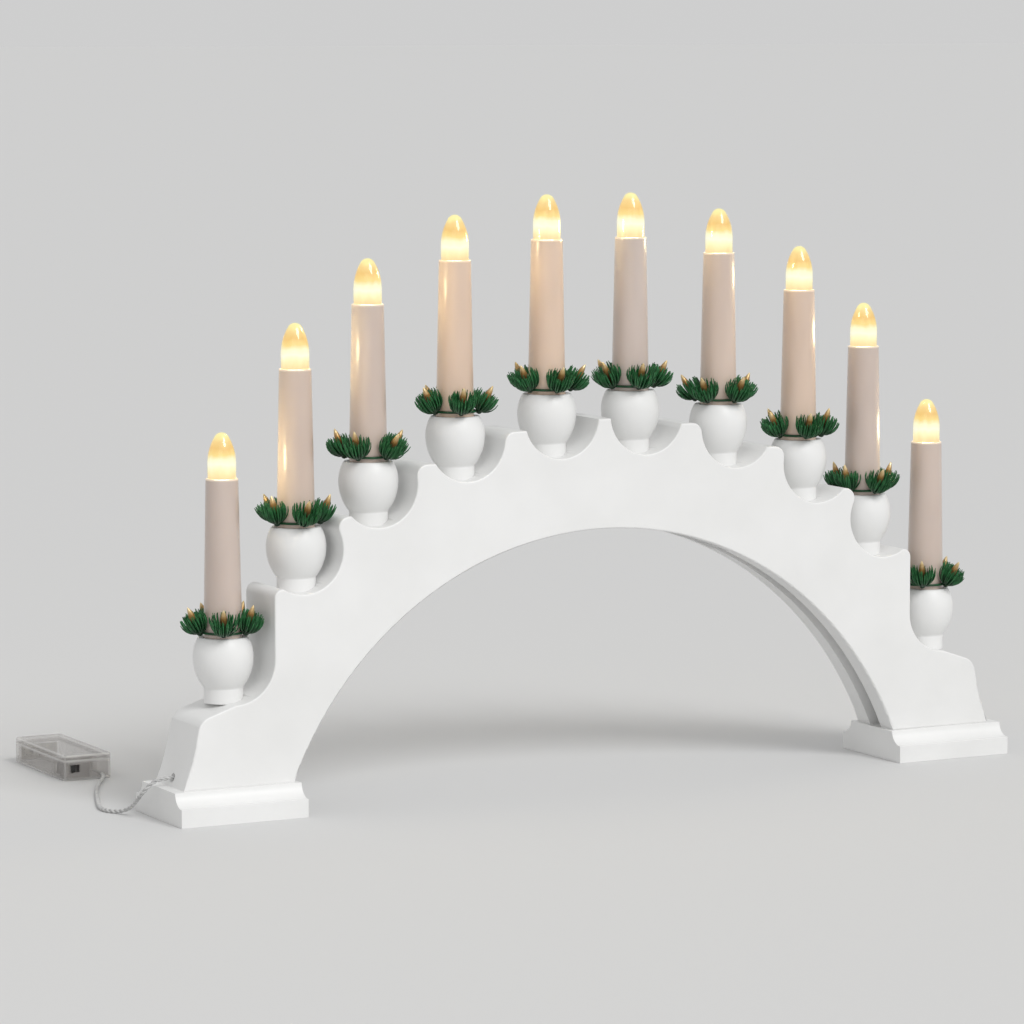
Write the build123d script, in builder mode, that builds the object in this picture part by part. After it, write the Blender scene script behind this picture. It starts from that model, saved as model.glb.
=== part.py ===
from build123d import *
import os
from math import acos, asin, cos, degrees, pi, radians, sin, sqrt, tan

os.makedirs("parts", exist_ok=True)

# Candle arch: a white scalloped board on two moulded plinths carries ten turned cups with electric candles,
# needle wreaths and bullet lamps, and a thin twisted lead runs to a clear battery case.
# Lengths are in millimetres and angles in degrees. The arch runs along X and stands on Z = 0.

# Plinths
arch_length = 490.0
plinth_length = 69.4
plinth_depth = 58.4
plinth_height = 16.5
plinth_wall_height = 9.4
plinth_top_depth = 41.8

# Arch board
board_thickness = 36.0
board_edge_radius = 0.9
crown_drop = 60.1
leg_width = 60.57
leg_foot_inset = 6.1
leg_bulge = 1.0
shoulder_inset = 9.1
shoulder_drop = 6.7
shoulder_radius = 9.0
groove_width = 11.0
groove_depth = 14.0
wire_hole_radius = 2.3
cord_hole_radius = 2.4
cord_hole_height = 20.6
cut_overrun = 2.0

# Scallops, from the outermost cup to the middle of the arch
top_cup_height = 195.8
cup_along_shares = (0.8535, 0.6873, 0.5212, 0.3188, 0.1012)
cup_height_shares = (0.4101, 0.6839, 0.8447, 0.952, 1.0)
notch_radius_share = 0.5283
notch_sink = 1.0
notch_shift_shares = (0.04, 0.16, 0.1, 0.07, 0.014)
outer_land_share = 0.841
land_rise_shares = (0.5305, 0.4575, 0.341)
middle_land_share = 0.0835
land_corner_radius = 5.6
land_corner_share = 0.9

# Turned candle cups
cup_radius = 15.35
cup_rim_radius = 11.6
cup_rim_height = 10.2
cup_neck_radius = 9.95
cup_neck_drop = 15.5
seat_depth = 0.5
seat_clearance = 0.1
tenon_radius = 4.5
tenon_length = 10.0
tenon_end_clearance = 0.5
socket_depth = 12.0

# Candle sleeves
sleeve_height = 80.0
sleeve_bottom_radius = 10.05
sleeve_top_radius = 8.25
sleeve_bottom_bore_radius = 8.5
sleeve_mouth_radius = 7.5
sleeve_ledge_radius = 6.0
sleeve_ledge_thickness = 1.5

# Lamps
bulb_radius = 7.3
bulb_mouth_radius = 7.2
bulb_height = 23.2
bulb_tip_radius = 5.0
bulb_widest_drop = 16.0
bulb_neck_radius = 5.1
bulb_neck_length = 6.0
glass_wall = 0.8
cap_radius = 4.75
cap_length = 8.5
cap_contact_radius = 2.0
cap_contact_length = 1.0
emitter_radius = 2.3
emitter_height = 7.5
thread_clearance = 0.08
holder_wall_bottom = 1.6
holder_rim_drop = 0.6
piece_gap = 0.05

# Needle wreaths
tuft_count = 5
needle_count = 8
wreath_turns = (30.0, 50.0, 5.0, 41.0, 51.0, 45.0, 71.0, 43.0, 58.0, 18.0)
wreath_reach = 17.8
ring_height = 2.4
ring_wire_radius = 0.65
ring_clearance = 0.35
tuft_radius = 12.2
tuft_height = 1.9
tuft_lean = 55.0
stub_bottom_radius = 1.5
stub_top_radius = 2.0
stub_sink = 0.6
stub_length = 2.4
needle_spread = 34.0
needle_ring_radius = 1.35
needle_length = 10.5
needle_base_radius = 0.5
needle_tip_radius = 0.2
needle_sink = 0.4
needle_sides = 3
bud_length = 9.0
bud_radius = 1.7
bud_base_radius = 0.55
bud_swell_share = 0.35
bud_tip_radius = 0.15
bud_sides = 6

# Screws that hold the plinths to the legs
plinth_screw_inset = 37.0
plinth_screw_half_pitch = 10.0
plinth_screw_length = 30.0
plinth_screw_radius = 1.75
plinth_screw_head_radius = 3.6
plinth_screw_head_height = 2.2
plinth_screw_head_sink = 0.6
screw_clearance = 0.05

# Wiring inside the arch
loom_radius = 1.1
riser_radius = 0.8
loom_clearance = 0.3
loom_sides = 8

# Battery case, for two small cells
case_width = 27.3
case_length = 71.7
case_height = 13.6
case_corner_radius = 3.0
case_edge_radius = 0.9
case_wall = 1.3
case_floor = 1.2
cover_height = 2.6
cover_lip_height = 1.0
cover_lip_wall = 0.9
cover_top = 1.2
cover_clearance = 0.2
switch_bay_length = 16.0
partition_thickness = 1.2
partition_drop = 1.8
cell_pitch = 11.4
cell_axis_height = 5.3
ridge_width = 1.0
ridge_height = 2.4

# Slide switch in the front end of the case
switch_offset = -7.3
switch_height = 6.4
switch_slot_width = 5.4
switch_slot_height = 4.2
switch_body_width = 12.0
switch_body_depth = 12.0
switch_body_height = 8.0
switch_window_depth = 2.2
knob_width = 2.8
knob_height = 3.6
knob_recess = 0.3
switch_clearance = 0.15

# Cell contacts
contact_thickness = 0.4
contact_width = 9.0
contact_height = 8.0
contact_button_radius = 1.6
contact_button_height = 0.7
contact_clearance = 0.1
spring_radius = 2.9
spring_tip_radius = 2.0
spring_wire_radius = 0.32
spring_length = 5.6
spring_turns = 4
spring_quarters = 4

# Twisted lead from the left leg to the battery case, laid as in use
cord_radius = 1.1
cord_hole_clearance = 0.2
cord_entry_offset = 7.9
cord_entry_depth = 4.7
cord_run_share = 0.45
lead_radius = 0.45
lead_pitch = 1.1
lead_hole_clearance = 0.15
lead_bend_radius = 1.4
cord_points = (
    (-234.5, 0.0, 20.6),
    (-239.8, 0.0, 20.6),
    (-244.9, -0.5, 20.5),
    (-249.3, -0.9, 18.9),
    (-252.2, 0.6, 15.4),
    (-253.2, 4.6, 11.9),
    (-253.2, 9.8, 8.2),
    (-253.4, 15.2, 4.8),
    (-254.6, 20.4, 2.3),
    (-257.2, 25.2, 1.1),
    (-260.6, 30.4, 1.1),
    (-261.0, 37.6, 1.1),
    (-257.6, 48.6, 1.1),
    (-250.4, 67.8, 1.1),
    (-242.4, 88.6, 1.1),
    (-233.4, 107.0, 1.2),
    (-226.4, 117.6, 1.9),
    (-224.0, 124.0, 2.6),
    (-224.0, 130.0, 2.6),
)

# Places worked out from the driving sizes
half_length = arch_length / 2
leg_foot_half_span = half_length - leg_foot_inset
shoulder_half_span = leg_foot_half_span - shoulder_inset
plinth_screw_along = half_length - plinth_screw_inset
cup_alongs = [share * half_length for share in cup_along_shares]
cup_heights = [share * top_cup_height for share in cup_height_shares]
notch_radius = notch_radius_share * (cup_alongs[0] - cup_alongs[1])
notch_alongs = [x + share * notch_radius for x, share in zip(cup_alongs, notch_shift_shares)]
notch_heights = [z - notch_sink for z in cup_heights]
ledge_height = notch_heights[0] - notch_radius
shoulder_height = ledge_height - shoulder_drop
land_heights = [notch_heights[1] - outer_land_share * notch_radius]
for outer, inner, share in zip(notch_heights[1:], notch_heights[2:], land_rise_shares):
    land_heights.append(outer + share * (inner - outer))
land_heights.append(notch_heights[-1] - middle_land_share * notch_radius)
arch_half_span = leg_foot_half_span - leg_width
arch_rise = top_cup_height - crown_drop
arch_height = arch_rise - plinth_height
arch_inner_radius = (arch_half_span**2 + arch_height**2) / (2 * arch_height)
arch_centre_height = arch_rise - arch_inner_radius
groove_radius = arch_inner_radius + groove_depth
seat_drop = notch_sink + notch_radius + seat_depth
left_places = [(-x, z) for x, z in zip(cup_alongs, cup_heights)]
right_places = [(x, z) for x, z in zip(cup_alongs, cup_heights)]
cup_places = left_places + right_places[::-1]
sleeve_top = cup_rim_height + sleeve_height
sleeve_length = sleeve_height + socket_depth
cord_end = Vector(*cord_points[-1])
case_centre_x = cord_end.X - cord_entry_offset
case_front_y = cord_end.Y - cord_entry_depth
case_mid_y = case_front_y + case_length / 2
case_inner_back_y = case_front_y + case_length - case_wall
case_inner_front_y = case_front_y + case_wall
case_inner_width = case_width - 2 * case_wall
case_inner_length = case_length - 2 * case_wall
case_tray_height = case_height - cover_height
case_inner_corner_radius = case_corner_radius - case_wall
partition_y = case_inner_front_y + switch_bay_length
bay_front_y = partition_y + partition_thickness
switch_x = case_centre_x + switch_offset
cell_alongs = (case_centre_x - cell_pitch / 2, case_centre_x + cell_pitch / 2)


def save(piece, name):
    piece.part.label = name
    export_step(piece.part, f"parts/{name}.step")


def upright(x, z):
    return Plane((x, 0, z), x_dir=(1, 0, 0), z_dir=(0, -1, 0))


def from_below(x, y, z):
    return Plane((x, y, z), x_dir=(1, 0, 0), z_dir=(0, 0, -1))


# Moulded plinth strips with sawn ends
def make_plinth(name, start, side):
    screw_x = side * plinth_screw_along
    with BuildPart() as plinth:
        with BuildSketch(Plane.YZ.offset(start)):
            with BuildLine():
                foot = (plinth_depth / 2, 0)
                wall_top = (plinth_depth / 2, plinth_wall_height)
                crown = (plinth_top_depth / 2, plinth_height)
                hollow = (
                    wall_top[0] - (wall_top[0] - crown[0]) * cos(pi / 4),
                    crown[1] - (crown[1] - wall_top[1]) * sin(pi / 4),
                )
                Polyline((0, 0), foot, wall_top)
                ThreePointArc(wall_top, hollow, crown)
                Line(crown, (0, plinth_height))
                mirror(about=Plane.YZ)
            make_face()
        extrude(amount=plinth_length)
        for y in (-plinth_screw_half_pitch, plinth_screw_half_pitch):
            with Locations(from_below(screw_x, y, 0)):
                Hole(plinth_screw_radius + screw_clearance)
                Hole(
                    plinth_screw_head_radius + screw_clearance,
                    depth=plinth_screw_head_sink + plinth_screw_head_height,
                )
    save(plinth, name)


make_plinth("left_plinth", -half_length, -1)
make_plinth("right_plinth", half_length - plinth_length, 1)

# Arch board: stepped outline, round scallops under the cups, wiring groove in the underside
with BuildPart() as arch_board:
    with BuildSketch(Plane.XZ) as board_face:
        with BuildLine():
            foot = (leg_foot_half_span, plinth_height)
            shoulder = (shoulder_half_span, shoulder_height)
            ledge = (notch_alongs[0], ledge_height)
            Line((0, plinth_height), foot)
            SagittaArc(foot, shoulder, leg_bulge)
            Polyline(shoulder, ledge, (0, ledge[1]))
            mirror(about=Plane.YZ)
        make_face()
        for reach, top in zip(notch_alongs, land_heights):
            with Locations((0, plinth_height)):
                Rectangle(2 * reach, top - plinth_height, align=(Align.CENTER, Align.MIN))
        for side in (-1, 1):
            for x, z in zip(notch_alongs, notch_heights):
                with Locations((side * x, z)):
                    Circle(notch_radius, mode=Mode.SUBTRACT)
            with Locations((side * notch_alongs[0], notch_heights[0])):
                Rectangle(
                    2 * notch_radius,
                    top_cup_height,
                    align=(Align.CENTER, Align.MIN),
                    mode=Mode.SUBTRACT,
                )
        with Locations((0, arch_centre_height)):
            Circle(arch_inner_radius, mode=Mode.SUBTRACT)
        for side in (-1, 1):
            for i in range(len(notch_alongs) - 1):
                rise = land_heights[i] - notch_heights[i]
                wall = notch_radius if i == 0 else sqrt(notch_radius**2 - rise**2)
                corner_x = notch_alongs[i] - wall
                fall = notch_heights[i + 1] - land_heights[i]
                land_end = notch_alongs[i + 1] + sqrt(notch_radius**2 - fall**2)
                corner = board_face.vertices().sort_by_distance((side * corner_x, land_heights[i]))[0]
                room = land_corner_share * (corner_x - land_end)
                if i > 0:
                    room = ((wall + room) ** 2 - wall**2) / (2 * (notch_radius + rise))
                fillet(corner, min(land_corner_radius, room))
            corner = board_face.vertices().sort_by_distance((side * shoulder_half_span, shoulder_height))[0]
            fillet(corner, shoulder_radius)
    extrude(amount=board_thickness / 2, both=True)
    fillet(arch_board.faces().filter_by(Axis.Y).edges(), board_edge_radius)
    with BuildSketch(Plane.XZ):
        with Locations((0, arch_centre_height)):
            Circle(groove_radius)
    extrude(amount=groove_width / 2, both=True, mode=Mode.SUBTRACT)
    for x, z in cup_places:
        seat_z = z - seat_drop
        hole_end = cord_hole_height
        if abs(x) < groove_radius:
            hole_end = arch_centre_height + sqrt(groove_radius**2 - x**2) - cut_overrun
        with Locations((x, 0, seat_z)):
            Cylinder(
                cup_neck_radius + seat_clearance,
                seat_drop,
                align=(Align.CENTER, Align.CENTER, Align.MIN),
                mode=Mode.SUBTRACT,
            )
            Hole(tenon_radius + seat_clearance, depth=tenon_length + tenon_end_clearance)
            Hole(wire_hole_radius, depth=seat_z - hole_end)
    bore_inner_x = sqrt(arch_inner_radius**2 - (cord_hole_height - arch_centre_height) ** 2)
    bore_outer_x = leg_foot_half_span + cut_overrun
    with Locations(Plane((-bore_outer_x, 0, cord_hole_height), z_dir=(-1, 0, 0))):
        Hole(cord_hole_radius, depth=bore_outer_x - bore_inner_x)
    with Locations(Plane((bore_inner_x, 0, cord_hole_height), z_dir=(-1, 0, 0))):
        Hole(cord_hole_radius, depth=cup_alongs[0] + wire_hole_radius - bore_inner_x)
    pilot_depth = plinth_screw_length + plinth_screw_head_sink + screw_clearance - plinth_height
    for x in (-plinth_screw_along, plinth_screw_along):
        for y in (-plinth_screw_half_pitch, plinth_screw_half_pitch):
            with Locations(from_below(x, y, plinth_height)):
                Hole(plinth_screw_radius + screw_clearance, depth=pilot_depth)
save(arch_board, "arch_board")

# Countersunk screws through the plinths into the legs
with BuildPart() as plinth_screws:
    for x in (-plinth_screw_along, plinth_screw_along):
        for y in (-plinth_screw_half_pitch, plinth_screw_half_pitch):
            with Locations((x, y, plinth_screw_head_sink)):
                Cylinder(
                    plinth_screw_radius,
                    plinth_screw_length,
                    align=(Align.CENTER, Align.CENTER, Align.MIN),
                )
                Cone(
                    plinth_screw_head_radius,
                    plinth_screw_radius,
                    plinth_screw_head_height,
                    align=(Align.CENTER, Align.CENTER, Align.MIN),
                )
save(plinth_screws, "plinth_screws")


# Turned cup: round belly on a short neck, a tenon below and a socket for the candle
def make_cup(name, x, z):
    bottom = -seat_drop - tenon_length
    socket_radius = sleeve_bottom_radius + seat_clearance
    socket_floor = cup_rim_height - socket_depth
    with BuildPart() as cup:
        with BuildSketch(upright(x, z)):
            with BuildLine():
                Polyline(
                    (wire_hole_radius, socket_floor),
                    (wire_hole_radius, bottom),
                    (tenon_radius, bottom),
                    (tenon_radius, -seat_drop),
                    (cup_neck_radius, -seat_drop),
                    (cup_neck_radius, -cup_neck_drop),
                )
                TangentArc((cup_radius, 0), (cup_neck_radius, -cup_neck_drop), tangent=(0, -1))
                TangentArc((cup_radius, 0), (cup_rim_radius, cup_rim_height), tangent=(0, 1))
                Polyline(
                    (cup_rim_radius, cup_rim_height),
                    (socket_radius, cup_rim_height),
                    (socket_radius, socket_floor),
                    (wire_hole_radius, socket_floor),
                )
            make_face()
        revolve(axis=Axis((x, 0, z), (0, 0, 1)))
    save(cup, name)


# Tapered candle sleeve, hollow, with a ledge near the top for the lamp holder
cap_end = sleeve_top - bulb_neck_length - cap_length - cap_contact_length - piece_gap
holder_seat = cap_end - piece_gap - holder_wall_bottom


def make_sleeve(name, x, z):
    bottom = cup_rim_height - socket_depth
    ledge_under = holder_seat - sleeve_ledge_thickness
    with BuildPart() as sleeve:
        with BuildSketch(upright(x, z)):
            with BuildLine():
                Polyline(
                    (sleeve_bottom_bore_radius, bottom),
                    (sleeve_bottom_radius, bottom),
                    (sleeve_top_radius, sleeve_top),
                    (sleeve_mouth_radius, sleeve_top),
                    (sleeve_mouth_radius, holder_seat),
                    (sleeve_ledge_radius, holder_seat),
                    (sleeve_ledge_radius, ledge_under),
                    (sleeve_mouth_radius, ledge_under),
                    close=True,
                )
            make_face()
        revolve(axis=Axis((x, 0, z), (0, 0, 1)))
    save(sleeve, name)


# Bullet lamp: glass envelope, screw cap with its end contact, and the light emitter inside
def make_lamp(name, x, z):
    tip = sleeve_top + bulb_height
    widest = tip - bulb_widest_drop
    neck = sleeve_top - bulb_neck_length
    tip_centre = bulb_widest_drop - bulb_tip_radius
    side_squares = bulb_radius**2 + tip_centre**2 - bulb_tip_radius**2
    side_radius = side_squares / (2 * (bulb_radius - bulb_tip_radius))
    side_centre = bulb_radius - side_radius
    reach = side_radius - bulb_tip_radius
    meet = (
        -side_centre / reach * bulb_tip_radius,
        widest + tip_centre + tip_centre / reach * bulb_tip_radius,
    )
    cap_top = neck - piece_gap
    emitter_dome = neck + emitter_height - emitter_radius
    axis = Axis((x, 0, z), (0, 0, 1))
    with BuildPart() as glass:
        with BuildSketch(upright(x, z)):
            with BuildLine():
                Line((0, neck), (bulb_neck_radius, neck))
                Line((bulb_neck_radius, neck), (bulb_mouth_radius, sleeve_top))
                Line((bulb_mouth_radius, sleeve_top), (bulb_radius, widest))
                TangentArc((bulb_radius, widest), meet, tangent=(0, 1))
                TangentArc((0, tip), meet, tangent=(1, 0))
                Line((0, tip), (0, neck))
            make_face()
        revolve(axis=axis)
        offset(amount=-glass_wall, openings=glass.faces().sort_by(Axis.Z)[0])
    with BuildPart() as lamp:
        add(glass.part)
        with BuildSketch(upright(x, z)):
            with BuildLine():
                Polyline(
                    (0, cap_end),
                    (cap_contact_radius, cap_end),
                    (cap_radius, cap_end + cap_contact_length),
                    (cap_radius, cap_top),
                    (0, cap_top),
                    close=True,
                )
            make_face()
            with BuildLine():
                Polyline((0, emitter_dome), (0, neck), (emitter_radius, neck), (emitter_radius, emitter_dome))
                TangentArc((emitter_radius, emitter_dome), (0, emitter_dome + emitter_radius), tangent=(0, 1))
                Line((0, emitter_dome + emitter_radius), (0, emitter_dome))
            make_face()
        revolve(axis=axis)
    save(lamp, name)


for number, (x, z) in enumerate(cup_places, start=1):
    make_cup(f"candle_cup_{number}", x, z)
    make_sleeve(f"candle_sleeve_{number}", x, z)
    make_lamp(f"lamp_{number}", x, z)

# Lamp holders, one in the top of each sleeve
holder_height = cap_length + holder_wall_bottom + cap_contact_length - holder_rim_drop
with BuildPart() as lamp_holders:
    for x, z in cup_places:
        with Locations((x, 0, z + holder_seat)):
            Cylinder(
                sleeve_mouth_radius - screw_clearance,
                holder_height,
                align=(Align.CENTER, Align.CENTER, Align.MIN),
            )
        with Locations((x, 0, z + holder_seat + holder_height)):
            Hole(cap_radius + thread_clearance, depth=holder_height - holder_wall_bottom)
save(lamp_holders, "lamp_holders")


# Needle wreath: a wire ring with tufts of needles, each round a pointed bud
def spoke(turn, lean):
    flat = cos(radians(lean))
    return Vector(flat * cos(radians(turn)), flat * sin(radians(turn)), sin(radians(lean)))


def tapered_rod(start, way, start_radius, end_radius, length, sides):
    with BuildPart(mode=Mode.PRIVATE) as rod:
        with BuildSketch(Plane(start, z_dir=way)):
            RegularPolygon(start_radius, sides)
        with BuildSketch(Plane(start + way * length, z_dir=way)):
            RegularPolygon(end_radius, sides)
        loft()
    return rod.part


ring_level = cup_rim_height + ring_height
sleeve_slope = (sleeve_bottom_radius - sleeve_top_radius) / sleeve_length
sleeve_radius_there = sleeve_bottom_radius - sleeve_slope * (socket_depth + ring_height)
ring_radius = sleeve_radius_there + ring_clearance + ring_wire_radius
bud_swell = bud_length * bud_swell_share
needles = []
stubs = []
buds = []
for i in range(tuft_count):
    turn = 360 * i / tuft_count
    way = spoke(turn, tuft_lean)
    root = spoke(turn, 0) * tuft_radius + Vector(0, 0, cup_rim_height + tuft_height)
    side = spoke(turn + 90, 0)
    up = way.cross(side)
    stub_start = root - way * stub_sink
    crown = stub_start + way * stub_length
    stubs.append(tapered_rod(stub_start, way, stub_bottom_radius, stub_top_radius, stub_length, bud_sides))
    for k in range(needle_count):
        swing = 2 * pi * k / needle_count
        out = side * cos(swing) + up * sin(swing)
        lean = way * cos(radians(needle_spread)) + out * sin(radians(needle_spread))
        start = crown + out * needle_ring_radius - lean * needle_sink
        flat = sqrt(start.X**2 + start.Y**2)
        run = sqrt(lean.X**2 + lean.Y**2)
        along = (start.X * lean.X + start.Y * lean.Y) / run
        room = sqrt(along**2 + wreath_reach**2 - flat**2) - along
        length = min(needle_length, room / run)
        needles.append(tapered_rod(start, lean, needle_base_radius, needle_tip_radius, length, needle_sides))
    bud_start = crown + way * piece_gap
    buds.append(tapered_rod(bud_start, way, bud_base_radius, bud_radius, bud_swell, bud_sides))
    bud_middle = bud_start + way * bud_swell
    bud_point = bud_length - bud_swell
    buds.append(tapered_rod(bud_middle, way, bud_radius, bud_tip_radius, bud_point, bud_sides))

with BuildPart() as wreath_pattern:
    with BuildSketch(Plane.XZ):
        with Locations((ring_radius, ring_level)):
            RegularPolygon(ring_wire_radius, bud_sides)
    revolve(axis=Axis.Z)
    add(stubs + needles)
    add(buds)

for number, ((x, z), turn) in enumerate(zip(cup_places, wreath_turns), start=1):
    with BuildPart() as wreath:
        with Locations(Location((x, 0, z), (0, 0, turn))):
            add(wreath_pattern.part)
    save(wreath, f"wreath_{number}")

# Wiring loom: a bundle under the roof of the groove, a run in each leg and a riser to each lamp holder
loom_arc_radius = groove_radius - loom_radius - loom_clearance
loom_end_angle = degrees(asin((cord_hole_height - arch_centre_height) / loom_arc_radius))
loom_end_x = loom_arc_radius * cos(radians(loom_end_angle))
with BuildPart() as wiring_loom:
    with BuildLine(Plane.XZ):
        CenterArc((0, arch_centre_height), loom_arc_radius, loom_end_angle, 180 - 2 * loom_end_angle)
    with BuildSketch(Plane((loom_end_x, 0, cord_hole_height), z_dir=spoke(0, loom_end_angle + 90))):
        RegularPolygon(loom_radius, loom_sides)
    sweep()
    left_run_start = min(cord_points[0][0], -cup_alongs[0])
    for start_x, end_x in ((left_run_start, -loom_end_x), (loom_end_x, cup_alongs[0])):
        with BuildSketch(Plane((start_x, 0, cord_hole_height), z_dir=(1, 0, 0))):
            Circle(loom_radius)
        extrude(amount=end_x - start_x)
    for x, z in cup_places:
        start_z = cord_hole_height
        if abs(x) < loom_arc_radius:
            start_z = arch_centre_height + sqrt(loom_arc_radius**2 - x**2)
        with Locations((x, 0, start_z)):
            Cylinder(
                riser_radius,
                z + holder_seat - start_z,
                align=(Align.CENTER, Align.CENTER, Align.MIN),
            )
save(wiring_loom, "wiring_loom")

# Lead from the bore in the left leg down to the table and on to the battery case
corners = [Vector(*point) for point in cord_points]
runs = [after - before for before, after in zip(corners, corners[1:])]
cord_bends = []
cord_path_length = sum(run.length for run in runs)
for before, after in zip(runs, runs[1:]):
    turn = acos(before.dot(after) / (before.length * after.length))
    bend = cord_run_share * min(before.length, after.length) / tan(turn / 2)
    cord_bends.append(bend)
    cord_path_length -= bend * (2 * tan(turn / 2) - turn)
with BuildPart() as power_cord:
    with BuildLine():
        FilletPolyline(*corners, radius=cord_bends)
    with BuildSketch(Plane(corners[0], z_dir=runs[0])):
        Circle(cord_radius)
    sweep()
save(power_cord, "power_cord")
print("cord bend radii", [round(bend, 1) for bend in cord_bends])
print("cord volume ratio", power_cord.part.volume / (pi * cord_radius**2 * cord_path_length))

# Battery case tray: thin walls, a partition behind the switch and a low ridge between the cells
with BuildPart() as battery_case:
    with BuildSketch(Plane((case_centre_x, case_mid_y, 0))):
        RectangleRounded(case_width, case_length, case_corner_radius)
    extrude(amount=case_tray_height)
    fillet(battery_case.faces().sort_by(Axis.Z)[0].edges(), case_edge_radius)
    with BuildSketch(Plane((case_centre_x, case_mid_y, case_floor))):
        RectangleRounded(case_inner_width, case_inner_length, case_inner_corner_radius)
    extrude(amount=case_tray_height, mode=Mode.SUBTRACT)
    partition_height = case_tray_height - case_floor - partition_drop
    with Locations((case_centre_x, partition_y, case_floor)):
        Box(
            case_inner_width,
            partition_thickness,
            partition_height,
            align=(Align.CENTER, Align.MIN, Align.MIN),
        )
    with Locations((case_centre_x, bay_front_y, case_floor)):
        Box(
            ridge_width,
            case_inner_back_y - bay_front_y,
            ridge_height,
            align=(Align.CENTER, Align.MIN, Align.MIN),
        )
    plate_room = contact_thickness + contact_clearance
    for y in (bay_front_y + plate_room / 2, case_inner_back_y - plate_room / 2):
        with Locations((case_centre_x, y, case_floor)):
            Box(
                case_inner_width,
                plate_room,
                ridge_height,
                align=(Align.CENTER, Align.CENTER, Align.MIN),
                mode=Mode.SUBTRACT,
            )
    with Locations((switch_x, case_front_y, switch_height)):
        Box(switch_slot_width, 2 * (case_wall + cut_overrun), switch_slot_height, mode=Mode.SUBTRACT)
    front_plane = Plane((0, case_front_y, 0), x_dir=(1, 0, 0), z_dir=(0, -1, 0))
    with BuildSketch(front_plane):
        with Locations((cord_end.X, cord_end.Z)):
            Circle(cord_radius + cord_hole_clearance)
    extrude(amount=-case_wall - cut_overrun, mode=Mode.SUBTRACT)
    with BuildSketch(Plane((0, bay_front_y, 0), x_dir=(1, 0, 0), z_dir=(0, -1, 0))):
        with Locations((cord_end.X + lead_pitch / 2, cord_end.Z), (cell_alongs[0], cord_end.Z)):
            Circle(lead_radius + lead_hole_clearance)
    extrude(amount=partition_thickness, mode=Mode.SUBTRACT)
save(battery_case, "battery_case")

# Cover: a shallow cap whose lip drops inside the tray
with BuildPart() as battery_cover:
    with BuildSketch(Plane((case_centre_x, case_mid_y, case_tray_height))):
        RectangleRounded(case_width, case_length, case_corner_radius)
    extrude(amount=cover_height)
    fillet(battery_cover.faces().sort_by(Axis.Z)[-1].edges(), case_edge_radius)
    lip_width = case_inner_width - 2 * cover_clearance
    lip_length = case_inner_length - 2 * cover_clearance
    lip_corner_radius = case_inner_corner_radius - cover_clearance
    with BuildSketch(Plane((case_centre_x, case_mid_y, case_tray_height - cover_lip_height))):
        RectangleRounded(lip_width, lip_length, lip_corner_radius)
    extrude(amount=cover_lip_height)
    with BuildSketch(Plane((case_centre_x, case_mid_y, case_tray_height - cover_lip_height))):
        RectangleRounded(
            lip_width - 2 * cover_lip_wall,
            lip_length - 2 * cover_lip_wall,
            max(lip_corner_radius - cover_lip_wall, lip_corner_radius / 2),
        )
    extrude(amount=cover_lip_height + cover_height - cover_top, mode=Mode.SUBTRACT)
save(battery_cover, "battery_cover")

# Slide switch: a block on the tray floor behind the front wall, with a sliding knob in the slot
switch_front_y = case_inner_front_y + switch_clearance
switch_back_y = switch_front_y + switch_body_depth
switch_body_x = case_centre_x - case_inner_width / 2 + case_inner_corner_radius + switch_body_width / 2
with BuildPart() as switch_body:
    with Locations((switch_body_x, switch_front_y, case_floor)):
        Box(
            switch_body_width,
            switch_body_depth,
            switch_body_height,
            align=(Align.CENTER, Align.MIN, Align.MIN),
        )
    with Locations((switch_x, switch_front_y, switch_height)):
        Box(
            switch_slot_width,
            2 * switch_window_depth,
            switch_slot_height,
            mode=Mode.SUBTRACT,
        )
save(switch_body, "switch_body")

knob_x = switch_x - switch_slot_width / 2 + switch_clearance + knob_width / 2
knob_front_y = case_front_y + knob_recess
with BuildPart() as switch_slider:
    with Locations((knob_x, knob_front_y, switch_height)):
        Box(
            knob_width,
            switch_front_y + switch_window_depth - switch_clearance - knob_front_y,
            knob_height,
            align=(Align.CENTER, Align.MIN, Align.CENTER),
        )
save(switch_slider, "switch_slider")

# Contact plates at both ends of the bay, each cell with a button at one end and a spring at the other
cell_axis_z = case_floor + cell_axis_height
back_plate_y = case_inner_back_y - contact_thickness
front_plate_y = bay_front_y + contact_thickness
with BuildPart() as contact_plates:
    with Locations((case_centre_x, back_plate_y, case_floor)):
        Box(
            cell_pitch + contact_width,
            contact_thickness,
            contact_height,
            align=(Align.CENTER, Align.MIN, Align.MIN),
        )
    for x in cell_alongs:
        with Locations((x, bay_front_y, case_floor)):
            Box(
                contact_width,
                contact_thickness,
                contact_height,
                align=(Align.CENTER, Align.MIN, Align.MIN),
            )
    for x, y, way in ((cell_alongs[0], front_plate_y, 1), (cell_alongs[1], back_plate_y, -1)):
        with BuildSketch(Plane((x, y, cell_axis_z), z_dir=(0, way, 0))):
            Circle(contact_button_radius)
        extrude(amount=contact_button_height)
save(contact_plates, "contact_plates")


# Conical contact spring, one unbroken wire on pairs of arcs
def spring_point(x, y, way, quarter):
    share = quarter / (spring_turns * spring_quarters)
    swing = 2 * pi * quarter / spring_quarters
    radius = spring_radius + (spring_tip_radius - spring_radius) * share
    rise = spring_wire_radius + piece_gap + spring_length * share
    return Vector(x + radius * cos(swing), y + way * rise, cell_axis_z + radius * sin(swing))


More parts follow.
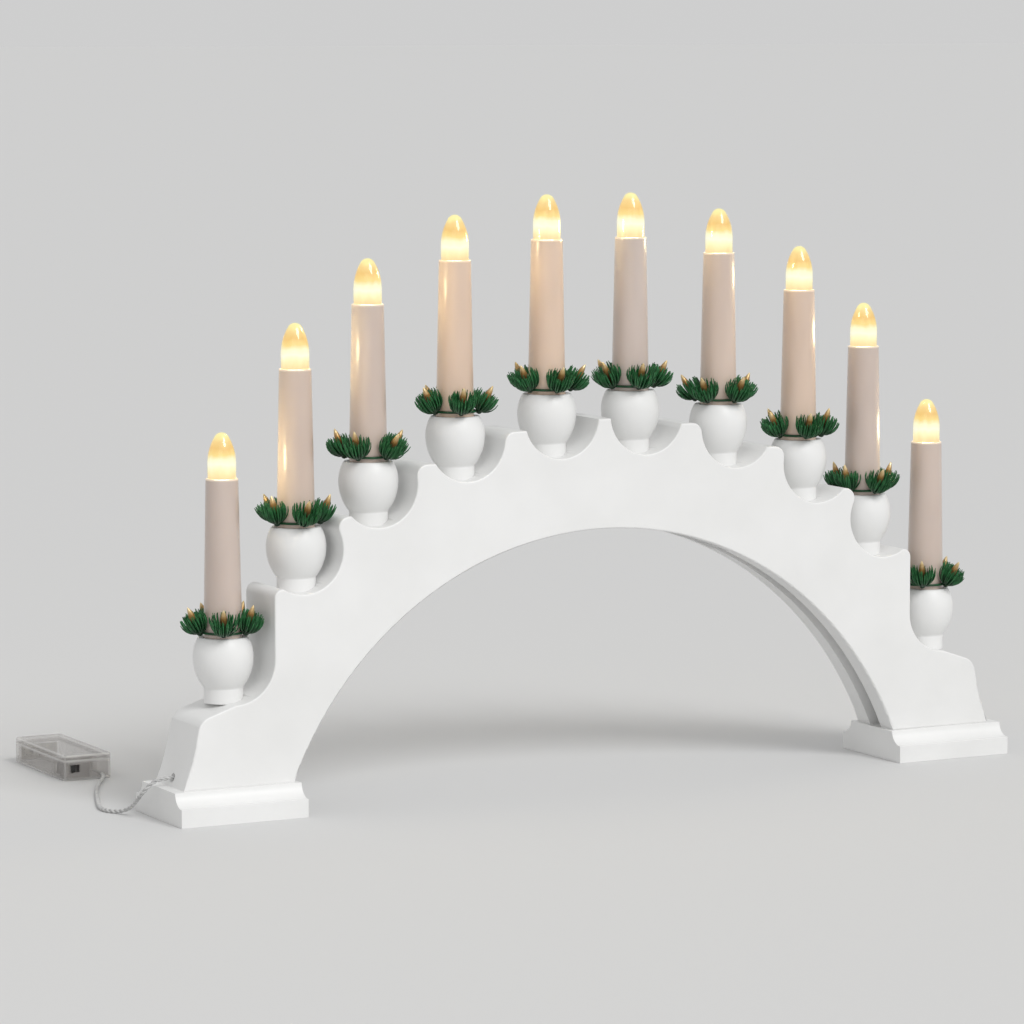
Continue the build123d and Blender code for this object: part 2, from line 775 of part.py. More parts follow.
def spring_tangent(way, quarter):
    last = spring_turns * spring_quarters
    share = quarter / last
    swing = 2 * pi * quarter / spring_quarters
    radius = spring_radius + (spring_tip_radius - spring_radius) * share
    pull = (spring_tip_radius - spring_radius) / last
    step = 2 * pi / spring_quarters
    return Vector(
        pull * cos(swing) - radius * step * sin(swing),
        way * spring_length / last,
        pull * sin(swing) + radius * step * cos(swing),
    ).normalized()


with BuildPart() as contact_springs:
    for x, y, way in ((cell_alongs[0], back_plate_y, -1), (cell_alongs[1], front_plate_y, 1)):
        with BuildLine() as spring_path:
            for quarter in range(spring_turns * spring_quarters):
                start = spring_point(x, y, way, quarter)
                end = spring_point(x, y, way, quarter + 1)
                start_way = spring_tangent(way, quarter)
                end_way = spring_tangent(way, quarter + 1)
                chord = end - start
                both = start_way + end_way
                spread = 2 * (1 - start_way.dot(end_way))
                along = chord.dot(both)
                reach = (sqrt(along**2 + spread * chord.dot(chord)) - along) / spread
                first = start + start_way * reach
                second = end - end_way * reach
                meet = (first + second) / 2
                TangentArc(start, meet, tangent=start_way)
                TangentArc(meet, end, tangent=second - first)
        with BuildSketch(Plane(spring_point(x, y, way, 0), z_dir=spring_tangent(way, 0))):
            RegularPolygon(spring_wire_radius, bud_sides)
        sweep()
        spots = [spring_path.wires()[0].position_at(i / 400) for i in range(401)]
        turn_steps = 400 // spring_turns
        apart = [
            (spots[j] - spots[i]).length
            for i in range(len(spots))
            for j in range(i + turn_steps // 2, len(spots))
        ]
        print("spring least gap to itself", min(apart) - 2 * spring_wire_radius)
save(contact_springs, "contact_springs")

# Leads in the case, from the cord to the switch and the front contact plates
switch_lead_x = cell_alongs[0] + 3 * lead_pitch
lead_turn_y = (switch_back_y + partition_y) / 2
lead_start = cord_end - Vector(lead_pitch / 2, 0, 0)
with BuildPart() as case_leads:
    with BuildLine():
        FilletPolyline(
            lead_start,
            (lead_start.X, lead_turn_y, lead_start.Z),
            (switch_lead_x, lead_turn_y, lead_start.Z),
            (switch_lead_x, switch_back_y, lead_start.Z),
            radius=lead_bend_radius,
        )
    with BuildSketch(Plane(lead_start, z_dir=(0, 1, 0))):
        Circle(lead_radius)
    sweep()
    for x, y in ((cord_end.X + lead_pitch / 2, cord_end.Y), (cell_alongs[0], switch_back_y)):
        with BuildSketch(Plane((x, y, cord_end.Z), z_dir=(0, 1, 0))):
            Circle(lead_radius)
        extrude(amount=bay_front_y - y)
save(case_leads, "case_leads")
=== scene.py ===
import bpy
import math
import random
from mathutils import Matrix, Vector


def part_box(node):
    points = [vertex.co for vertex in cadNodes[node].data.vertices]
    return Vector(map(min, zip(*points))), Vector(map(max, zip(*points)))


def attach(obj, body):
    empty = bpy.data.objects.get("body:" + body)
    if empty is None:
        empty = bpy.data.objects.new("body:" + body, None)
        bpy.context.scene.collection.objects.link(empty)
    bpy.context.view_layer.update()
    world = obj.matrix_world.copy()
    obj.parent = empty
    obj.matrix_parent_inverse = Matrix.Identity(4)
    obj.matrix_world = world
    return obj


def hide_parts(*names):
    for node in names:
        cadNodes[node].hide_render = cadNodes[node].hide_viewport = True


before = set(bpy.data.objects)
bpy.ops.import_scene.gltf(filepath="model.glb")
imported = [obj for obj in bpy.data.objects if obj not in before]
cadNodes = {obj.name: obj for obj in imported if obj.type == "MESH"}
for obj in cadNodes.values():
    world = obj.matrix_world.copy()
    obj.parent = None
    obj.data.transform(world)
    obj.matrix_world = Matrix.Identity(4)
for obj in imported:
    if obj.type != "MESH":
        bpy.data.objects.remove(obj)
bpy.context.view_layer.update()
mm = 0.001
print("frame loaded with", len(cadNodes), "nodes")


# small helpers for working as in the viewport

def deselectAll():
    if bpy.context.object and bpy.context.object.mode != "OBJECT":
        bpy.ops.object.mode_set(mode="OBJECT")
    bpy.ops.object.select_all(action="DESELECT")


def pick(*objs):
    deselectAll()
    for obj in objs:
        obj.select_set(True)
    bpy.context.view_layer.objects.active = objs[0]


def addObject(name, data):
    obj = bpy.data.objects.new(name, data)
    bpy.context.scene.collection.objects.link(obj)
    return obj


def freshCopy(obj, name, place):
    twin = obj.copy()
    twin.data = obj.data.copy()
    twin.name = name
    bpy.context.scene.collection.objects.link(twin)
    twin.data.transform(place)
    return twin


def joinAll(objs, name):
    pick(*objs)
    if len(objs) > 1:
        bpy.ops.object.join()
    piece = bpy.context.object
    piece.name = name
    return piece


def smoothOver(obj, angle):
    pick(obj)
    bpy.ops.object.shade_smooth_by_angle(angle=math.radians(angle))


def paint(obj, *materials):
    obj.data.materials.clear()
    for material in materials:
        obj.data.materials.append(material)


def markPoints(obj, name, rule):
    layer = obj.data.attributes.new(name, "FLOAT", "POINT")
    layer.data.foreach_set("value", [rule(v.co) for v in obj.data.vertices])


def applyAll(obj):
    pick(obj)
    for modifier in list(obj.modifiers):
        bpy.ops.object.modifier_apply(modifier=modifier.name)


# a round wire along points, as a mesh
def wireAlong(name, spots, radius, roundness, widths=()):
    data = bpy.data.curves.new(name, "CURVE")
    data.dimensions = "3D"
    data.bevel_depth = radius
    data.bevel_resolution = roundness
    data.use_fill_caps = True
    spline = data.splines.new("POLY")
    spline.points.add(len(spots) - 1)
    for knot, spot in zip(spline.points, spots):
        knot.co = (*spot, 1)
    for knot, width in zip(spline.points, widths):
        knot.radius = width
    pick(addObject(name, data))
    bpy.ops.object.convert(target="MESH")
    bpy.ops.object.shade_smooth()
    return bpy.context.object


# a closed turned form: a filled disc pulled up ring by ring
def turnForm(name, rings, sides):
    deselectAll()
    radius, height = rings[0]
    bpy.ops.mesh.primitive_circle_add(
        vertices=sides, radius=radius, fill_type="NGON", location=(0, 0, height)
    )
    obj = bpy.context.object
    obj.name = name
    bpy.ops.object.transform_apply(location=True, rotation=True, scale=True)
    bpy.ops.object.mode_set(mode="EDIT")
    bpy.ops.mesh.select_all(action="SELECT")
    for (oldRadius, oldHeight), (newRadius, newHeight) in zip(rings, rings[1:]):
        bpy.ops.mesh.extrude_region_move(TRANSFORM_OT_translate={"value": (0, 0, newHeight - oldHeight)})
        grow = newRadius / oldRadius
        bpy.ops.transform.resize(value=(grow, grow, 1), center_override=(0, 0, newHeight))
    bpy.ops.mesh.select_all(action="SELECT")
    bpy.ops.mesh.normals_make_consistent(inside=False)
    bpy.ops.object.mode_set(mode="OBJECT")
    return obj


def arcRings(centreRadius, centreHeight, size, startAngle, endAngle, steps):
    rings = []
    for i in range(steps + 1):
        angle = math.radians(startAngle + (endAngle - startAngle) * i / steps)
        rings.append((centreRadius + size * math.cos(angle), centreHeight + size * math.sin(angle)))
    return rings


# node helpers for the finishes

class Finish:
    def __init__(self, name):
        self.material = bpy.data.materials.new(name)
        self.material.use_nodes = True
        self.nodes = self.material.node_tree.nodes
        self.links = self.material.node_tree.links
        self.shader = self.nodes["Principled BSDF"]
        self.coords = self.nodes.new("ShaderNodeTexCoord")

    def plain(self, **values):
        for socket, value in values.items():
            self.shader.inputs[socket.replace("_", " ")].default_value = value
        return self

    def stretch(self, scale):
        mapping = self.nodes.new("ShaderNodeMapping")
        mapping.inputs["Scale"].default_value = scale
        self.links.new(self.coords.outputs["Object"], mapping.inputs["Vector"])
        return mapping.outputs["Vector"]

    def noise(self, scale, detail=2.0, rough=0.5, vector=None):
        tex = self.nodes.new("ShaderNodeTexNoise")
        tex.inputs["Scale"].default_value = scale
        tex.inputs["Detail"].default_value = detail
        tex.inputs["Roughness"].default_value = rough
        self.links.new(vector or self.coords.outputs["Object"], tex.inputs["Vector"])
        return tex.outputs["Fac"]

    def ramp(self, fac, stops):
        node = self.nodes.new("ShaderNodeValToRGB")
        bar = node.color_ramp.elements
        while len(bar) < len(stops):
            bar.new(0.5)
        for element, (position, colour) in zip(bar, stops):
            element.position = position
            element.color = (*colour, 1)
        self.links.new(fac, node.inputs["Fac"])
        return node.outputs["Color"]

    # a noise between two colours, with even patches of both
    def twoTones(self, fac, dark, light):
        return self.ramp(fac, [(0.3, dark), (0.7, light)])

    def spread(self, fac, low, high):
        node = self.nodes.new("ShaderNodeMapRange")
        node.inputs["To Min"].default_value = low
        node.inputs["To Max"].default_value = high
        self.links.new(fac, node.inputs["Value"])
        return node.outputs["Result"]

    def blendColours(self, fac, first, second):
        node = self.nodes.new("ShaderNodeMix")
        node.data_type = "RGBA"
        self.links.new(fac, node.inputs["Factor"])
        self.links.new(first, node.inputs["A"])
        self.links.new(second, node.inputs["B"])
        return node.outputs["Result"]

    def attribute(self, name):
        node = self.nodes.new("ShaderNodeAttribute")
        node.attribute_name = name
        return node.outputs["Fac"]

    def sums(self, operation, first, second):
        node = self.nodes.new("ShaderNodeMath")
        node.operation = operation
        self.links.new(first, node.inputs[0])
        self.links.new(second, node.inputs[1])
        return node.outputs["Value"]

    def vectorNode(self, operation):
        node = self.nodes.new("ShaderNodeVectorMath")
        node.operation = operation
        return node

    # 1 along the edges of the object's own box, 0 from the given distance on
    def nearEdges(self, obj, distance):
        low = Vector(map(min, zip(*obj.bound_box)))
        high = Vector(map(max, zip(*obj.bound_box)))
        apart = self.vectorNode("SUBTRACT")
        apart.inputs[1].default_value = (low + high) / 2
        self.links.new(self.coords.outputs["Object"], apart.inputs[0])
        away = self.vectorNode("ABSOLUTE")
        self.links.new(apart.outputs["Vector"], away.inputs[0])
        inward = self.vectorNode("SUBTRACT")
        inward.inputs[0].default_value = (high - low) / 2
        self.links.new(away.outputs["Vector"], inward.inputs[1])
        split = self.nodes.new("ShaderNodeSeparateXYZ")
        self.links.new(inward.outputs["Vector"], split.inputs["Vector"])
        x, y, z = (split.outputs[axis] for axis in "XYZ")
        # on a face one depth is zero, so the middle one of the three is the way to the next edge
        nearer = self.sums("MINIMUM", x, y)
        farther = self.sums("MAXIMUM", x, y)
        second = self.sums("MAXIMUM", nearer, self.sums("MINIMUM", farther, z))
        fade = self.nodes.new("ShaderNodeMapRange")
        fade.interpolation_type = "SMOOTHSTEP"
        fade.inputs["From Min"].default_value = distance
        fade.inputs["From Max"].default_value = 0.0
        self.links.new(second, fade.inputs["Value"])
        return fade.outputs["Result"]

    def bump(self, height, strength, distance, below=None):
        node = self.nodes.new("ShaderNodeBump")
        node.inputs["Strength"].default_value = strength
        node.inputs["Distance"].default_value = distance
        self.links.new(height, node.inputs["Height"])
        if below:
            self.links.new(below, node.inputs["Normal"])
        return node.outputs["Normal"]

    def feed(self, **outputs):
        for socket, output in outputs.items():
            self.links.new(output, self.shader.inputs[socket.replace("_", " ")])
        return self


# a plain mottled finish: two tones, two limits of roughness and, if given, a fine grain
def mottled(name, tones, toneScale, rough, roughScale, toneDetail=2, roughDetail=1, grain=None, **sockets):
    finish = Finish(name).plain(**sockets)
    finish.feed(
        Base_Color=finish.twoTones(finish.noise(toneScale, toneDetail), *tones),
        Roughness=finish.spread(finish.noise(roughScale, roughDetail), *rough),
    )
    if grain:
        pattern = finish.noise(grain["scale"], 1)
        finish.feed(Normal=finish.bump(pattern, grain["strength"], grain["depth"]))
    return finish.material


# satin white lacquer over sanded wood: faint tone drift, brushed film and fine orange peel
lacquerLook = {
    "tones": ((0.765, 0.765, 0.755), (0.815, 0.815, 0.808)),
    "toneScale": 22,
    "rough": (0.36, 0.5),
    "roughScale": 90,
    "grainStretch": (60, 900, 900),
    "grain": {"strength": 0.05, "depth": 0.2 * mm},
    "peel": {"scale": 1400, "strength": 0.05, "depth": 0.1 * mm},
}


def makeLacquer():
    look = lacquerLook
    finish = Finish("whiteLacquer").plain(IOR=1.48)
    grain = finish.noise(1, 3, 0.6, finish.stretch(look["grainStretch"]))
    film = finish.bump(grain, look["grain"]["strength"], look["grain"]["depth"])
    peel = finish.noise(look["peel"]["scale"])
    finish.feed(
        Base_Color=finish.twoTones(finish.noise(look["toneScale"], 3), *look["tones"]),
        Roughness=finish.spread(finish.noise(look["roughScale"], 3), *look["rough"]),
        Normal=finish.bump(peel, look["peel"]["strength"], look["peel"]["depth"], film),
    )
    return finish.material


# glossy cream plastic of the sleeves, a little warmer on some candles, with a painted glow on the top rim
# standing in for the lamp's light
creamLook = {
    "cool": ((0.535, 0.445, 0.395), (0.585, 0.49, 0.435)),
    "warm": ((0.665, 0.5, 0.385), (0.72, 0.545, 0.42)),
    # emission colour of the painted rim glow
    "paintedRimGlowColour": (0.36, 0.3, 0.19),
    "mottleStretch": (70, 70, 25),
    "rough": (0.3, 0.4),
    "roughScale": 160,
    "ripple": {"scale": 700, "strength": 0.03, "depth": 0.1 * mm},
}


def makeCandleCream():
    look = creamLook
    finish = Finish("candleCream").plain(
        IOR=1.47,
        Subsurface_Weight=0.12,
        Subsurface_Radius=(0.003, 0.002, 0.0012),
        Coat_Weight=0.6,
        Coat_Roughness=0.18,
        Emission_Strength=1.0,
    )
    mottle = finish.noise(1, vector=finish.stretch(look["mottleStretch"]))
    cool = finish.twoTones(mottle, *look["cool"])
    warm = finish.twoTones(mottle, *look["warm"])
    # painted glow: the top band of each sleeve emits a warm light colour, as if lit by its lamp
    paintedRimGlowColour = finish.ramp(finish.attribute("paintedRimGlowMask"), [(0.0, (0, 0, 0)), (1.0, look["paintedRimGlowColour"])])
    ripple = finish.noise(look["ripple"]["scale"])
    finish.feed(
        Base_Color=finish.blendColours(finish.attribute("warmth"), cool, warm),
        Emission_Color=paintedRimGlowColour,
        Roughness=finish.spread(finish.noise(look["roughScale"]), *look["rough"]),
        Normal=finish.bump(ripple, look["ripple"]["strength"], look["ripple"]["depth"]),
    )
    return finish.material


# needles painted dark at the root as shade where they crowd, and lighter towards the tip, in deep and fresh
# patches
needleLook = {
    "deep": [(0.0, (0.003, 0.02, 0.006)), (0.5, (0.008, 0.06, 0.017)), (1.0, (0.015, 0.095, 0.028))],
    "fresh": [(0.0, (0.006, 0.045, 0.013)), (0.5, (0.024, 0.16, 0.048)), (1.0, (0.05, 0.26, 0.088))],
    "patchScale": 420,
    "patchLimits": (-0.9, 1.6),
    "rough": (0.28, 0.44),
    "roughScale": 300,
}


def makeNeedleGreen():
    look = needleLook
    finish = Finish("needleGreen").plain(IOR=1.46)
    rise = finish.attribute("rise")
    patches = finish.spread(finish.noise(look["patchScale"]), *look["patchLimits"])
    # both ramps darken towards the root: painted shade among the crowded needle roots
    deep = finish.ramp(rise, look["deep"])
    fresh = finish.ramp(rise, look["fresh"])
    finish.feed(
        Base_Color=finish.blendColours(patches, deep, fresh),
        Roughness=finish.spread(finish.noise(look["roughScale"], 1), *look["rough"]),
    )
    return finish.material


# bronze paint on the buds, brown at the foot and gold towards the tip, with a painted highlight at the very
# tip, over rough scales
budLook = {
    "dull": [(0.4, (0.07, 0.03, 0.012)), (0.7, (0.24, 0.12, 0.035)), (0.97, (0.6, 0.42, 0.16))],
    "gilt": [(0.4, (0.15, 0.07, 0.022)), (0.7, (0.46, 0.26, 0.08)), (0.97, (0.95, 0.82, 0.52))],
    "patchScale": 380,
    "patchLimits": (-0.5, 1.5),
    "rough": (0.26, 0.45),
    "roughScale": 500,
    "scales": {"scale": 900, "strength": 0.35, "depth": 0.4 * mm},
}


def makeBudBronze():
    look = budLook
    finish = Finish("budBronze").plain(Metallic=0.55, IOR=1.5)
    rise = finish.attribute("rise")
    patches = finish.spread(finish.noise(look["patchScale"], 3, 0.6), *look["patchLimits"])
    # the lightest stop of both ramps, at the tip, is a painted highlight
    dull = finish.ramp(rise, look["dull"])
    gilt = finish.ramp(rise, look["gilt"])
    scales = finish.noise(look["scales"]["scale"], 2, 0.6)
    finish.feed(
        Base_Color=finish.blendColours(patches, dull, gilt),
        Roughness=finish.spread(finish.noise(look["roughScale"], 1), *look["rough"]),
        Normal=finish.bump(scales, look["scales"]["strength"], look["scales"]["depth"]),
    )
    return finish.material


# clear lamp glass with a soft yellow rim and a faint ripple
glassLook = {
    "tint": (1.0, 0.98, 0.92, 1),
    "rimTint": (1.0, 0.9, 0.42, 1),
    "ripple": {"scale": 120, "strength": 0.05, "depth": 0.4 * mm},
}


def makeLampGlass():
    look = glassLook
    finish = Finish("lampGlass").plain(
        Base_Color=look["tint"], Transmission_Weight=1.0, IOR=1.45, Roughness=0.015,
        Sheen_Weight=0.7, Sheen_Roughness=0.25, Sheen_Tint=look["rimTint"],
    )
    ripple = finish.noise(look["ripple"]["scale"], 1)
    finish.feed(Normal=finish.bump(ripple, look["ripple"]["strength"], look["ripple"]["depth"]))
    return finish.material


# light spread inside the lamp: almost white above the emitter, amber higher up, yellow at the tip
glowLook = {
    "unlit": (0.03, 0.02, 0.01, 1),
    "shine": [
        (0.0, (0.95, 0.7, 0.36)), (0.1, (0.98, 0.84, 0.45)), (0.2, (1.0, 0.96, 0.6)),
        (0.3, (1.0, 0.99, 0.8)), (0.42, (1.0, 0.97, 0.66)), (0.52, (0.93, 0.72, 0.27)),
        (0.66, (0.86, 0.56, 0.18)), (0.8, (0.9, 0.66, 0.26)), (0.9, (0.98, 0.86, 0.38)),
        (1.0, (1.0, 0.96, 0.46)),
    ],
    "swirlStretch": (260, 260, 150),
    "swirl": (-0.07, 0.07),
}


def makeLampGlow():
    look = glowLook
    finish = Finish("lampGlow").plain(Base_Color=look["unlit"], Roughness=0.4, Emission_Strength=1.0)
    swirl = finish.noise(1, vector=finish.stretch(look["swirlStretch"]))
    level = finish.sums("ADD", finish.attribute("rise"), finish.spread(swirl, *look["swirl"]))
    finish.feed(Emission_Color=finish.ramp(level, look["shine"]))
    return finish.material


# thin smoky plastic, seen through, denser along the edges and lighter there with a painted highlight
smokyLook = {
    "wall": ((0.5, 0.475, 0.455), (0.58, 0.555, 0.535)),
    # lighter tones along the edges: a painted highlight
    "rim": ((0.7, 0.69, 0.675), (0.76, 0.75, 0.735)),
    "toneScale": 60,
    "rimWidth": 2.4 * mm,
    "wallAlpha": (0.24, 0.36),
    "wallAlphaScale": 45,
    "rimAlpha": (0.2, 0.62),
    "rough": (0.1, 0.2),
    "roughScale": 120,
    "ripple": {"scale": 260, "strength": 0.04, "depth": 0.2 * mm},
}


def makeSmokyClear(node, name):
    look = smokyLook
    finish = Finish(name).plain(IOR=1.46, Coat_Weight=0.3, Coat_Roughness=0.08)
    mottle = finish.noise(look["toneScale"])
    rim = finish.nearEdges(cadNodes[node], look["rimWidth"])
    wallTone = finish.twoTones(mottle, *look["wall"])
    # the lighter edge tone is a painted highlight along the box's edges
    paintedEdgeHighlight = finish.twoTones(mottle, *look["rim"])
    wallAlpha = finish.spread(finish.noise(look["wallAlphaScale"]), *look["wallAlpha"])
    rimAlpha = finish.spread(rim, *look["rimAlpha"])
    ripple = finish.noise(look["ripple"]["scale"])
    finish.feed(
        Base_Color=finish.blendColours(rim, wallTone, paintedEdgeHighlight),
        Alpha=finish.sums("MAXIMUM", wallAlpha, rimAlpha),
        Roughness=finish.spread(finish.noise(look["roughScale"]), *look["rough"]),
        Normal=finish.bump(ripple, look["ripple"]["strength"], look["ripple"]["depth"]),
    )
    return finish.material


lacquer = makeLacquer()
candleCream = makeCandleCream()
needleGreen = makeNeedleGreen()
budBronze = makeBudBronze()
lampGlass = makeLampGlass()
lampGlow = makeLampGlow()
caseClear = makeSmokyClear("battery_case", "smokyCase")
coverClear = makeSmokyClear("battery_cover", "smokyCover")
wireGreen = mottled(
    "wireGreen", tones=((0.004, 0.04, 0.012), (0.01, 0.09, 0.03)), toneScale=500,
    rough=(0.35, 0.5), roughScale=200, IOR=1.46,
)
capBrass = mottled(
    "capBrass", tones=((0.5, 0.42, 0.3), (0.68, 0.6, 0.46)), toneScale=300,
    rough=(0.25, 0.42), roughScale=400, Metallic=1.0,
)
nickel = mottled(
    "nickel", tones=((0.55, 0.53, 0.48), (0.72, 0.7, 0.66)), toneScale=260, toneDetail=3,
    rough=(0.22, 0.4), roughScale=500, roughDetail=2, Metallic=1.0,
)
switchBlack = mottled(
    "switchBlack", tones=((0.012, 0.012, 0.012), (0.03, 0.03, 0.03)), toneScale=700,
    rough=(0.4, 0.6), roughScale=600, grain={"scale": 2500, "strength": 0.1, "depth": 0.1 * mm}, IOR=1.5,
)
switchGrey = mottled(
    "switchGrey", tones=((0.11, 0.1, 0.1), (0.16, 0.15, 0.145)), toneScale=300,
    rough=(0.45, 0.6), roughScale=600, IOR=1.5,
)
wireGrey = mottled(
    "wireGrey", tones=((0.43, 0.43, 0.43), (0.56, 0.56, 0.55)), toneScale=240,
    rough=(0.36, 0.5), roughScale=400, grain={"scale": 1800, "strength": 0.08, "depth": 0.1 * mm}, IOR=1.47,
)
holderWhite = mottled(
    "holderWhite", tones=((0.62, 0.6, 0.56), (0.7, 0.68, 0.64)), toneScale=120,
    rough=(0.4, 0.55), roughScale=300, IOR=1.47,
)
print("finishes made")


# camera at the photograph's angle
cameraView = {
    "place": (-1.1128, -2.0476, 0.4036),
    "aim": (-0.0451, 0.0, 0.145),
    "lens": 157.5,
    "sensor": 36,
    "farthest": 100,
}


def makeCamera():
    data = bpy.data.cameras.new("photoCamera")
    data.lens = cameraView["lens"]
    data.sensor_width = cameraView["sensor"]
    data.clip_end = cameraView["farthest"]
    camera = addObject("photoCamera", data)
    camera.location = cameraView["place"]
    aim = Vector(cameraView["aim"]) - camera.location
    camera.rotation_euler = aim.to_track_quat("-Z", "Y").to_euler()
    bpy.context.scene.camera = camera


makeCamera()


# twisted lead: two insulated wires wound round one soft line
lead = {
    "route": [
        (-234.5, 0.0, 20.6), (-239.8, 0.0, 20.6), (-244.9, -0.5, 20.5), (-249.3, -0.9, 18.9),
        (-252.2, 0.6, 15.4), (-253.2, 4.6, 11.9), (-253.2, 9.8, 8.2), (-253.4, 15.2, 4.8),
        (-254.6, 20.4, 2.3), (-257.2, 25.2, 1.1), (-260.6, 30.4, 1.1), (-261.0, 37.6, 1.1),
        (-257.6, 48.6, 1.1), (-250.4, 67.8, 1.1), (-242.4, 88.6, 1.1), (-233.4, 107.0, 1.2),
        (-226.4, 117.6, 1.9), (-224.0, 124.0, 2.6), (-224.0, 130.0, 2.6),
    ],
    "routeOrder": 3,
    "routeSteps": 24,
    "strands": 2,
    "wireRadius": 0.56 * mm,
    "windRadius": 0.54 * mm,
    "turnLength": 6.5 * mm,
    "step": 0.55 * mm,
    "roundness": 3,
    "diameter": 2.2 * mm,
}


def makeRoute(points):
    data = bpy.data.curves.new("leadRoute", "CURVE")
    data.dimensions = "3D"
    data.resolution_u = lead["routeSteps"]
    spline = data.splines.new("NURBS")
    spline.points.add(len(points) - 1)
    for knot, point in zip(spline.points, points):
        knot.co = (*[c * mm for c in point], 1)
    spline.order_u = lead["routeOrder"]
    spline.use_endpoint_u = True
    route = addObject("leadRoute", data)
    bpy.context.view_layer.update()
    mesh = bpy.data.meshes.new_from_object(route)
    line = [v.co.copy() for v in mesh.vertices]
    bpy.data.meshes.remove(mesh)
    bpy.data.objects.remove(route)
    return line


def evenPoints(line, step):
    spots = [line[0].copy()]
    left = step
    for a, b in zip(line, line[1:]):
        run = (b - a).length
        while run >= left:
            a = a.lerp(b, left / run)
            run = (b - a).length
            spots.append(a.copy())
            left = step
        left -= run
    return spots


# one strand, wound round the lead's line
def woundStrand(name, spots, phase):
    across = Vector((0, 0, 1))
    wound = []
    for i, spot in enumerate(spots):
        ahead = (spots[min(i + 1, len(spots) - 1)] - spots[max(i - 1, 0)]).normalized()
        across = (across - ahead * across.dot(ahead)).normalized()
        beside = ahead.cross(across)
        turn = phase + 2 * math.pi * i * lead["step"] / lead["turnLength"]
        offset = across * math.cos(turn) + beside * math.sin(turn)
        wound.append(spot + offset * lead["windRadius"])
    return wireAlong(name, wound, lead["wireRadius"], lead["roundness"])


# carried-over CAD shapes, merged and shaded smooth
dress = {"weld": 0.000002, "flatAngle": 0.5, "bevelFrom": 50, "bevelSteps": 2, "faceWeight": 100}


def dressNode(node, name, body, material, angle=38, bevel=0.0):
    piece = freshCopy(cadNodes[node], name, Matrix.Identity(4))
    for key in list(piece.keys()):
        del piece[key]
    piece.parent = None
    pick(piece)
    bpy.ops.object.mode_set(mode="EDIT")
    bpy.ops.mesh.select_all(action="SELECT")
    bpy.ops.mesh.remove_doubles(threshold=dress["weld"])
    bpy.ops.mesh.dissolve_limited(angle_limit=math.radians(dress["flatAngle"]))
    bpy.ops.object.mode_set(mode="OBJECT")
    if bevel:
        edge = piece.modifiers.new("softEdge", "BEVEL")
        edge.width = bevel
        edge.segments = dress["bevelSteps"]
        edge.limit_method = "ANGLE"
        edge.angle_limit = math.radians(dress["bevelFrom"])
    smoothOver(piece, angle)
    weigh = piece.modifiers.new("flatFaces", "WEIGHTED_NORMAL")
    weigh.keep_sharp = True
    weigh.weight = dress["faceWeight"]
    applyAll(piece)
    paint(piece, material)
    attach(piece, body)
    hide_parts(node)
    return piece


def makeLead():
    line = makeRoute(lead["route"])
    spots = evenPoints(line, lead["step"])
    strands = [
        woundStrand(f"leadStrand{k}", spots, 2 * math.pi * k / lead["strands"])
        for k in range(lead["strands"])
    ]
    piece = joinAll(strands, "twistedLead")
    paint(piece, wireGrey)
    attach(piece, "arch")
    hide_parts("power_cord")


# CAD shapes shown as they are
def finishNode(node, material):
    obj = cadNodes[node]
    for slot in obj.material_slots:
        slot.material = material
    return obj


# battery case at the lead's end
switch = {"softEdge": 0.3 * mm}
casePieces = [
    finishNode("battery_case", caseClear),
    finishNode("battery_cover", coverClear),
    finishNode("contact_plates", nickel),
    finishNode("case_leads", wireGrey),
    dressNode("switch_body", "switchBlock", "arch", switchGrey, bevel=switch["softEdge"]),
    dressNode(
        "switch_slider", "switchKnob", "switch_slider", switchBlack, bevel=switch["softEdge"]
    ),
]
makeLead()

# conical contact springs wound from one wire each, wider at the plate
spring = {
    "plateRadius": 2.9 * mm,
    "tipRadius": 2.0 * mm,
    "wire": 0.32 * mm,
    "length": 5.6 * mm,
    "turns": 4,
    "pitch": 11.4 * mm,
    "stepsPerTurn": 24,
    "roundness": 2,
}


def makeSprings():
    low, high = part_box("contact_springs")
    middle = (low + high) / 2
    coils = []
    count = spring["turns"] * spring["stepsPerTurn"]
    for side, end, way in ((-1, high.y, -1), (1, low.y, 1)):
        spots = []
        for i in range(count + 1):
            share = i / count
            turn = 2 * math.pi * spring["turns"] * share
            radius = spring["plateRadius"] + (spring["tipRadius"] - spring["plateRadius"]) * share
            spots.append((
                middle.x + side * spring["pitch"] / 2 + radius * math.cos(turn),
                end + way * (spring["wire"] + spring["length"] * share),
                middle.z + radius * math.sin(turn),
            ))
        coils.append(wireAlong("springCoil", spots, spring["wire"], spring["roundness"]))
    piece = joinAll(coils, "contactSprings")
    paint(piece, nickel)
    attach(piece, "arch")
    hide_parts("contact_springs")
    print("springs wound")


makeSprings()

# wiring, holders and screws inside the arch
dressNode("wiring_loom", "wiringLoom", "arch", wireGrey, angle=60)
dressNode("lamp_holders", "lampHolders", "arch", holderWhite, angle=40)
dressNode("plinth_screws", "plinthScrews", "arch", nickel, angle=40)
print("battery case and wiring dressed")


# arch board; legSide is where the legs' outer faces begin, sideFacing and sideLevel pick those faces
board = {
    "halfDepth": 18.0 * mm,
    "softEdge": 0.95 * mm,
    "legSide": 228.0 * mm,
    "sideFacing": 0.9,
    "sideLevel": 0.02,
}
plinth = {"softEdge": 0.5 * mm}


# the paint fills the joint at the feet, so the lower edge is square there
def squareFeet(obj):
    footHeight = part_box("left_plinth")[1].z
    for point in obj.data.vertices:
        nearFoot = point.co.z < footHeight + board["softEdge"]
        if nearFoot and abs(point.co.y) > board["halfDepth"] - board["softEdge"]:
            point.co.y = math.copysign(board["halfDepth"], point.co.y)


def isLegSide(face, side):
    facesOut = face.normal.x * side > board["sideFacing"] and abs(face.normal.y) < board["sideLevel"]
    return facesOut and face.center.x * side > board["legSide"]


